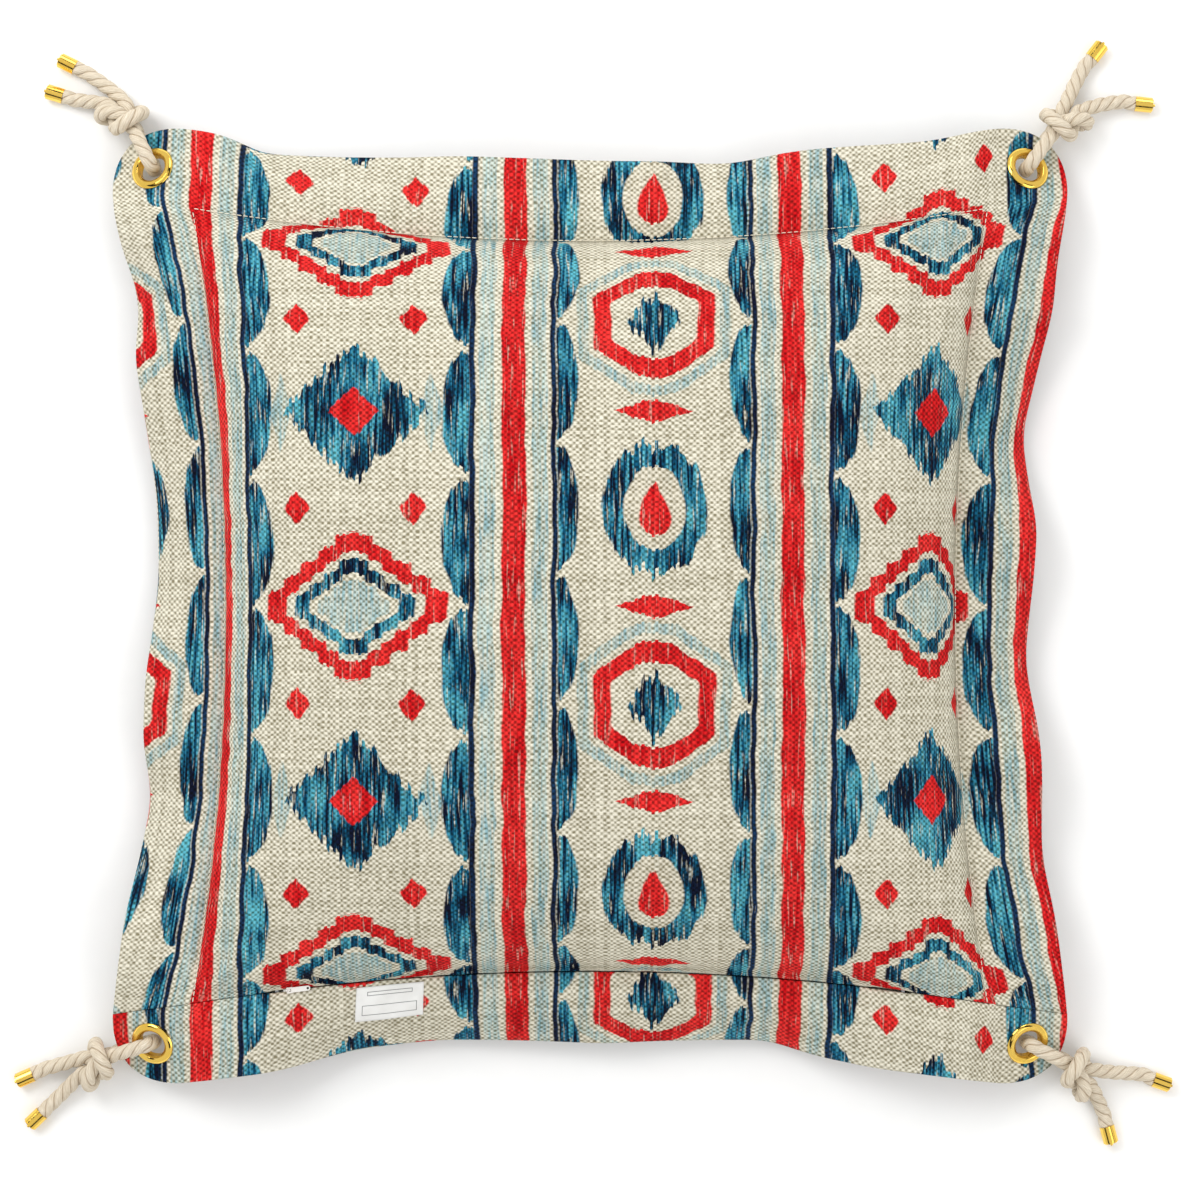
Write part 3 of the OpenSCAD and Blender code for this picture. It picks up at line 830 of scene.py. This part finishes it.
def cloth_solid(name, outer, normals, thickness, keep, uvs, material):
    """A closed solid from a grid of outer points, where only the kept cells are cloth."""
    rows, columns = outer.shape[:2]
    inner = outer - normals * thickness[..., None]
    points = np.concatenate([outer.reshape(-1, 3), inner.reshape(-1, 3)])
    total = rows * columns
    index = np.arange(total).reshape(rows, columns)
    a, b = index[:-1, :-1][keep], index[:-1, 1:][keep]
    c, d = index[1:, 1:][keep], index[1:, :-1][keep]
    top = np.column_stack([a, b, c, d])
    under = top[:, ::-1] + total
    edges = {}
    for quad in top:
        for k in range(4):
            edge = (int(quad[k]), int(quad[(k + 1) % 4]))
            if (edge[1], edge[0]) in edges:
                del edges[(edge[1], edge[0])]
            else:
                edges[edge] = True
    walls = [(q, p, p + total, q + total) for p, q in edges]
    faces = np.concatenate([top, under, np.array(walls)])
    used = np.unique(faces)
    renumber = np.full(2 * total, -1)
    renumber[used] = np.arange(len(used))
    uv = np.concatenate([uvs.reshape(-1, 2)] * 2)
    return mesh_piece(name, points[used], renumber[faces], material, uv[used])


def hole_fitted(p):
    """Moves the points inside each eyelet's hole out to its rim, and says which were inside."""
    hole = 0.0132
    inside = np.zeros(p.shape[:2], bool)
    for sx in (-1, 1):
        for sy in (-1, 1):
            dx, dy = p[..., 0] - sx * EYELET_XY, p[..., 1] - sy * EYELET_XY
            r = np.hypot(dx, dy)
            near = r < hole
            scale = np.where(near, hole / np.maximum(r, 1e-6), 1)
            slope = math.tan(CORNER_TILT) / math.sqrt(2)
            moved = (scale - 1) * (sx * dx + sy * dy)
            p[..., 0] += np.where(near, dx * (scale - 1), 0)
            p[..., 1] += np.where(near, dy * (scale - 1), 0)
            p[..., 2] -= np.where(near, slope * moved, 0)
            inside |= near
    return inside


def shut_seam(a, b):
    """The two edges of cloth along the zip stand apart only where the slider comes to rest at
    the ends of its run. Between them they nearly meet, and beyond the zip they are sewn."""
    near_slider, zip_end = 0.198, ZIP_HALF + 0.004
    closed_half, sewn_half = 0.00035, 0.00015
    along = np.abs(a) * ZIP_REACH
    lips = (1 - eased((along - near_slider) / 0.006)) * (SLOT_HALF - closed_half)
    shut = lips + eased((along - zip_end) / 0.003) * (SLOT_HALF - sewn_half)
    from_seam = b + POCKET
    return -np.sign(from_seam) * shut * np.exp(-np.maximum(np.abs(from_seam) - SLOT_HALF, 0) / 0.003)


def panel(name, b_low, b_high, side, material, phase=0.0):
    """A cover panel between two cloth lines; side is 1 above the sheet and -1 below it."""
    a_lines, b_lines = cloth_lines(-HALF, HALF), cloth_lines(b_low, b_high)
    a, b = np.meshgrid(a_lines, b_lines)
    x, y, z = waved(a, b)
    front_reach = POCKET - 0.006 if side > 0 else POCKET + 0.011
    reach = POCKET - 0.002 * side
    swell = crown(a, b, reach, reach, front_reach)
    edge = np.minimum(HALF - np.abs(a), HALF - np.abs(b))
    if abs(b_low) < HALF:
        edge = np.minimum(edge, b - b_low)
    if abs(b_high) < HALF:
        edge = np.minimum(edge, b_high - b)
    fold = folded_edge(edge)
    seam = np.minimum(np.abs(np.abs(a) - POCKET), np.abs(np.abs(b) - POCKET))
    pinch = 0.0005 * np.exp(-(seam / 0.0016) ** 2) * (np.maximum(np.abs(a), np.abs(b)) < POCKET + 0.005)
    height = CROWN_H if side > 0 else BELLY_H
    level = z + side * (0.0003 + 0.0010 * fold - pinch + height * swell)
    outer = np.stack([x, y, level], axis=2)
    normals = grid_normals(outer) * side
    uneven = (swells(a, b) * swell + puckers(a, b)) * (np.maximum(np.abs(a), np.abs(b)) < POCKET)
    outer = outer + normals * uneven[..., None]
    if side > 0:
        outer[..., 1] += shut_seam(a, b)
    if side < 0:
        outer[..., 2] = np.maximum(outer[..., 2], 0)
        normals = np.where(outer[..., 2:] < 0.0005, (0, 0, -1), normals)
    inside = hole_fitted(outer)
    keep = ~(inside[:-1, :-1] & inside[:-1, 1:] & inside[1:, 1:] & inside[1:, :-1])
    across, along = print_places(a, b, side)
    uvs = np.stack([across, phase - along], axis=2)
    thickness = 0.0002 + (CLOTH - 0.0002) * fold
    return cloth_solid(name, outer, normals, thickness, keep, uvs, material)


# ---------------------------------------------------------------------------
# Ropes
# ---------------------------------------------------------------------------

def settled(strands, rounds=160):
    """Draws the strands tight until they touch: each point moves between its neighbours, and
    points of different stretches push apart. The ends stay."""
    sizes = [len(s) for s in strands]
    p = np.vstack(strands)
    strand = np.repeat(np.arange(len(strands)), sizes)
    order = np.concatenate([np.arange(n) for n in sizes])
    spacing = np.linalg.norm(p[1] - p[0])
    apart = ROPE_D * 0.97
    skip = 1.7 * ROPE_D / spacing
    same = strand[:, None] == strand[None, :]
    pairs = ~(same & (np.abs(order[:, None] - order[None, :]) < skip))
    fixed = (order < 8) | (order > np.repeat(sizes, sizes) - 6)
    start = p.copy()
    for _ in range(rounds):
        pull = np.zeros_like(p)
        pull[1:-1] = (p[2:] + p[:-2]) / 2 - p[1:-1]
        p = np.where(fixed[:, None], start, p + 0.3 * pull)
        for _ in range(3):
            gap = p[:, None, :] - p[None, :, :]
            distance = np.linalg.norm(gap, axis=2)
            close = pairs & (distance < apart)
            push = np.where(close, (apart - distance) / np.maximum(distance, 1e-9), 0)
            p = np.where(fixed[:, None], start, p + 0.2 * (push[..., None] * gap).sum(axis=1))
        p[:, 2] = np.maximum(p[:, 2], np.where(fixed, p[:, 2], ROPE_D / 2))
    ends = np.cumsum(sizes)[:-1]
    return np.split(p, ends)


def tie_route(side, tails):
    """The whole rope of a tie in its own frame, from one end to the other, and its middle point."""
    halves = []
    for loop, knot, tail in ((LOOP_BELOW, KNOT_CORE, tails[0]), (LOOP_ABOVE, KNOT_HITCH, tails[1])):
        route = [(x, 0, z) for x, z in loop] + [(x, side * y, z) for x, y, z in knot]
        route += [(x, y, FERRULE_Z) for x, y in tail]
        halves.append(resampled(route, 0.0022))
    below, above = settled(halves)
    return np.vstack([below[::-1], above[1:]]), len(below) - 1


def to_world(points, corner, heading):
    turn = math.radians(heading)
    c, s = math.cos(turn), math.sin(turn)
    x = corner[0] * EYELET_XY + c * points[:, 0] - s * points[:, 1]
    y = corner[1] * EYELET_XY + s * points[:, 0] + c * points[:, 1]
    return np.column_stack([x, y, points[:, 2]])


def carried_frames(line):
    """A direction across the line at each point, carried along it without turning about it."""
    along = unit_rows(np.gradient(line, axis=0))
    side = np.array((0.0, 0.0, 1.0))
    if abs(along[0] @ side) > 0.9:
        side = np.array((0.0, 1.0, 0.0))
    sides = []
    for t in along:
        side = side - (side @ t) * t
        side = side / np.linalg.norm(side)
        sides.append(side)
    sides = np.array(sides)
    return sides, np.cross(along, sides)


def tube_faces(rings, sides, start):
    faces = []
    for k in range(rings - 1):
        for i in range(sides):
            here, beside = start + k * sides + i, start + k * sides + (i + 1) % sides
            faces.append((here, beside, beside + sides, here + sides))
    faces.append(tuple(range(start + sides - 1, start - 1, -1)))
    last = start + (rings - 1) * sides
    faces.append(tuple(range(last, last + sides)))
    return faces


def laid_rope(name, line, frames, length, material):
    """A rope of three strands laid left-handed about a line; each strand is ten sides wide."""
    u, v = frames
    wide, sides = 10, 30
    rings = np.zeros((len(line), sides, 3))
    for i in range(sides):
        turn = 2 * math.pi * (i / sides - length / ROPE_LAY)
        radius = ROPE_D / 2 * (0.78 + 0.24 * math.sin(math.pi * (i % wide) / wide) ** 0.6)
        rings[:, i] = line + radius * (np.cos(turn)[:, None] * u + np.sin(turn)[:, None] * v)
    faces = tube_faces(len(line), sides, 0)
    corner_uvs = []
    for k in range(len(line) - 1):
        for i in range(sides):
            left = 2 * (i % wide) / wide - 1
            right = left + 2 / wide
            here, beyond = length[k], length[k + 1]
            corner_uvs += [(left, here), (right, here), (right, beyond), (left, beyond)]
    corner_uvs += [(0.0, length[0])] * sides + [(0.0, length[-1])] * sides
    return mesh_piece(name, rings.reshape(-1, 3), faces, material, corner_uvs=corner_uvs)


def make_ties(rope_material, brass):
    for name, corner, heading, side, tail_a, tail_b in TIES:
        whole, middle = tie_route(side, (tail_a, tail_b))
        line = resampled(whole, 0.0011)
        length = distances(line)
        split = int(np.argmin(np.abs(length - distances(whole)[middle])))
        line = to_world(line, corner, heading)
        u, v = carried_frames(line)
        halves = (("a", slice(0, split + 1), slice(None, None, -1)), ("b", slice(split, None), slice(None)))
        for end, part, order in halves:
            frames = (u[part], v[part])
            piece = laid_rope(f"rope_{name}_{end}", line[part], frames, length[part], rope_material)
            replaced = [f"rope_tail_{name}_{end}"]
            replaced += [f"rope_loop_{name}"] if end == "a" else [f"rope_knot_{name}"]
            place(piece, f"tie_{name}", "rope_cotton", *replaced)
            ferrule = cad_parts[f"ferrule_{name}_{end}"]
            ferrule.data.materials.clear()
            ferrule.data.materials.append(brass)


# ---------------------------------------------------------------------------
# Zip, label and stitches
# ---------------------------------------------------------------------------

def on_zip(along, into, z):
    """A place given by distance along the zip, distance into the cushion, and height."""
    angle = along / ZIP_R
    return (math.sin(angle) * (ZIP_R + into), ZIP_MID_Y - ZIP_R + math.cos(angle) * (ZIP_R + into), z)


def make_coil(name, side, material):
    """The sewn-on nylon coil of one tape, inside its CAD bar."""
    low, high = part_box(name)
    z = (low.z + high.z) / 2
    pitch, per_turn, wire = 0.0014, 8, 0.00022
    turns = int(2 * (ZIP_HALF - 0.005) / pitch)
    line = []
    for k in range(turns * per_turn):
        turn = 2 * math.pi * k / per_turn
        along = -ZIP_HALF + 0.005 + pitch * k / per_turn
        line.append(on_zip(along, side * (0.0018 + 0.00085 * math.cos(turn)), z + 0.00075 * math.sin(turn)))
    line = np.array(line)
    u, v = carried_frames(line)
    sides = 5
    rings = [line + wire * (math.cos(2 * math.pi * i / sides) * u + math.sin(2 * math.pi * i / sides) * v)
             for i in range(sides)]
    points = np.stack(rings, axis=1).reshape(-1, 3)
    piece = mesh_piece(name.replace("zip_coil", "coil"), points, tube_faces(len(line), sides, 0), material)
    place(piece, "cushion", "zip_nylon", name)


def make_stitches(material):
    """Lockstitches that close the pocket on the three sides without a zip."""
    pitch, length, radius = 0.0046, 0.0034, 0.00038
    shape = [(-1, 0.25), (-0.75, 0.8), (0, 1), (0.75, 0.8), (1, 0.25)]
    points, faces = [], []
    for side, across_first in ((-1, True), (1, True), (1, False)):
        for place_along in np.arange(-POCKET + 0.003, POCKET - 0.002, pitch):
            ends = np.array([place_along - length / 2, place_along + length / 2])
            a, b = (np.full(2, side * POCKET), ends) if across_first else (ends, np.full(2, side * POCKET))
            x, y, z = waved(a, b)
            first, last = np.stack([x, y, z + GAP + CLOTH - 0.00015], axis=1)
            along = (last - first) / np.linalg.norm(last - first)
            sideways = np.cross(along, (0, 0, 1.0))
            up = np.cross(sideways, along)
            start = len(points)
            for t, swell in shape:
                centre = (first + last) / 2 + along * t * length / 2
                for i in range(6):
                    turn = math.pi * i / 3
                    points.append(centre + radius * swell * (math.cos(turn) * sideways + math.sin(turn) * up))
            faces.extend(tube_faces(len(shape), 6, start))
    place(mesh_piece("stitches", points, faces, material), "cushion", "sewing_thread", "flange_thread")


def make_label(material):
    """A folded woven label that lies on the strip; its free end lifts a little."""
    width, drop, thick = 0.050, 0.026, 0.00045
    at = LABEL_AT / ZIP_REACH
    columns, rows = 41, 22
    s, t = np.meshgrid(np.linspace(-0.5, 0.5, columns), np.linspace(0, 1, rows))
    a = at + s * width + 0.0005 * t
    b = -POCKET - 0.0032 - drop * t + 0.0008 * s
    strip = np.stack(waved(a, b), axis=2)
    up = grid_normals(strip)
    up = up * np.sign(up[..., 2:])
    lift = GAP + CLOTH + 0.0006 + 0.0010 * t * t + 0.0006 * t * np.cos(5 * s + 0.6)
    round_off = 0.3 + 0.7 * np.sqrt(1 - clamped((t - 0.97) / 0.03) ** 2)
    points = np.concatenate([(strip + up * (lift + layer * thick / 2 * round_off)[..., None]).reshape(-1, 3)
                             for layer in (1, -1)])
    uvs = np.tile(np.stack([s * width, t * drop], axis=2).reshape(-1, 2), (2, 1))
    piece = mesh_piece("label", points, shell_faces(rows, columns, flipped=True), material, uvs)
    place(piece, "cushion", "label_satin", "woven_label")


# ---------------------------------------------------------------------------
# Insert
# ---------------------------------------------------------------------------

def insert_shell(name, depth, lumps, material):
    """The closed outer shape of the inner pad, or of its filling when depth is larger."""
    reach = POCKET - 0.018 - 2 * depth
    lines = reach * np.sin(np.linspace(-math.pi / 2, math.pi / 2, 73))
    a, b = np.meshgrid(lines, lines)
    x, y = plan(a, b)
    swell = crown(a, b, reach, reach, reach)
    seam = sheet_z(a, b)
    uneven = lumps * (np.sin(90 * a + 4 * np.sin(40 * b)) * np.sin(85 * b + 3 * np.sin(50 * a))) * swell
    top = seam + 0.0005 + (CROWN_H - 0.004 - 2 * depth - 0.004) * swell + uneven
    under = seam - 0.0005 - (BELLY_H - 0.004 - 2 * depth) * swell - uneven
    under = np.maximum(under, CLOTH + 0.0006 + depth)
    points = np.concatenate([np.stack([x, y, z], 2).reshape(-1, 3) for z in (top, under)])
    return mesh_piece(name, points, shell_faces(*a.shape), material)


# ---------------------------------------------------------------------------
# Studio
# ---------------------------------------------------------------------------

# Lamps: name, place, width in metres and power in watts.
LAMPS = [("key", (-1.6, 1.4, 2.2), 1.6, 43), ("fill", (1.8, -1.2, 2.0), 2.0, 20),
         ("rim", (0.4, 2.2, 1.4), 1.2, 12)]
# The sky's strength, and the dark band in it: its middle, half its height and how much it dims.
SKY = 0.76
BAND_AT = 0.74
BAND_HALF = 0.12
BAND_DIMS = 0.74


def light_world(tree):
    """Even white light. Polished metal sees a dark band high in the room, as in a studio."""
    def math_node(operation, a, b):
        node = tree.nodes.new("ShaderNodeMath")
        node.operation = operation
        for socket, value in zip(node.inputs, (a, b)):
            if isinstance(value, bpy.types.NodeSocket):
                tree.links.new(value, socket)
            else:
                socket.default_value = value
        return node.outputs[0]

    split = tree.nodes.new("ShaderNodeSeparateXYZ")
    tree.links.new(tree.nodes.new("ShaderNodeTexCoord").outputs["Generated"], split.inputs[0])
    from_band = math_node("ABSOLUTE", math_node("SUBTRACT", split.outputs["Z"], BAND_AT), 0)
    band = math_node("LESS_THAN", from_band, BAND_HALF)
    seen = math_node("MULTIPLY", band, tree.nodes.new("ShaderNodeLightPath").outputs["Is Glossy Ray"])
    background = tree.nodes["Background"]
    background.inputs["Color"].default_value = (1.0, 1.0, 1.0, 1.0)
    strength = math_node("SUBTRACT", SKY, math_node("MULTIPLY", seen, BAND_DIMS))
    tree.links.new(strength, background.inputs["Strength"])


def make_studio():
    n = Nodes("paper_floor")
    speck = n.noise(n.position(), 40.0, 3.0)
    floor_material = n.finish(n.mix(speck, (246, 246, 245), (250, 250, 249)), 0.9)
    corners = [(-6, -6, -0.0003), (6, -6, -0.0003), (6, 6, -0.0003), (-6, 6, -0.0003)]
    floor = mesh_piece("floor", corners, [(0, 1, 2, 3)], floor_material)
    for name, place_at, size, power in LAMPS:
        light = bpy.data.lights.new(name, "AREA")
        light.shape = "SQUARE"
        light.size = size
        light.energy = power
        lamp = link(bpy.data.objects.new(name, light))
        lamp.location = place_at
        lamp.rotation_euler = (-Vector(place_at)).to_track_quat("-Z", "Y").to_euler()
    world = bpy.data.worlds.new("studio")
    bpy.context.scene.world = world
    world.use_nodes = True
    light_world(world.node_tree)
    bpy.context.scene.view_settings.view_transform = "Standard"


# ---------------------------------------------------------------------------
# The cushion
# ---------------------------------------------------------------------------

def dress(node, material):
    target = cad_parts[node]
    target.data.materials.clear()
    target.data.materials.append(material)


def main():
    make_camera()
    brass = polished_brass()
    make_ties(cotton_rope(), brass)

    linen = printed_linen("cover_linen")
    strip_linen = printed_linen("cover_linen_strip", 0.018)
    top = panel("cover_top", -POCKET + SLOT_HALF, HALF, 1, linen)
    strip = panel("cover_zip_strip", -HALF, -POCKET - SLOT_HALF, 1, strip_linen)
    bottom = panel("cover_bottom", -HALF, HALF, -1, linen, phase=0.21)
    place(top, "cushion", "cover_linen", "top_panel")
    place(strip, "cushion", "cover_linen", "zip_side_strip")
    place(bottom, "cushion", "cover_linen", "bottom_panel")

    casing_cotton = plain_cloth("casing_cotton", (226, 222, 212), (246, 243, 236))
    casing = insert_shell("inner_pad", 0.0, 0.0006, casing_cotton)
    filling = insert_shell("fibre_filling", 0.002, 0.0012, wadding())
    place(casing, "cushion", "casing_cotton", "insert_casing")
    place(filling, "cushion", "filling_fibre", "insert_filling")

    make_stitches(plain_cloth("sewing_thread", (226, 216, 192), (246, 240, 224), 0.3))
    nylon_material = nylon()
    make_coil("zip_coil_inner", 1, nylon_material)
    make_coil("zip_coil_outer", -1, nylon_material)
    make_label(label_satin())

    tape = plain_cloth("zip_tape", (206, 196, 168), (236, 230, 210), 0.6)
    for material, slot, nodes in ((tape, "zip_tape", ("zip_tape_inner", "zip_tape_outer")),
                                  (steel(), "stop_metal", ("zip_closed_stop", "zip_open_stop")),
                                  (enamel(), "zip_enamel", ("zip_slider", "zip_pull"))):
        for node in nodes:
            dress(node, material)
    for tie in TIES:
        dress("eyelet_" + tie[0], brass)
        dress("washer_" + tie[0], brass)

    make_studio()


main()
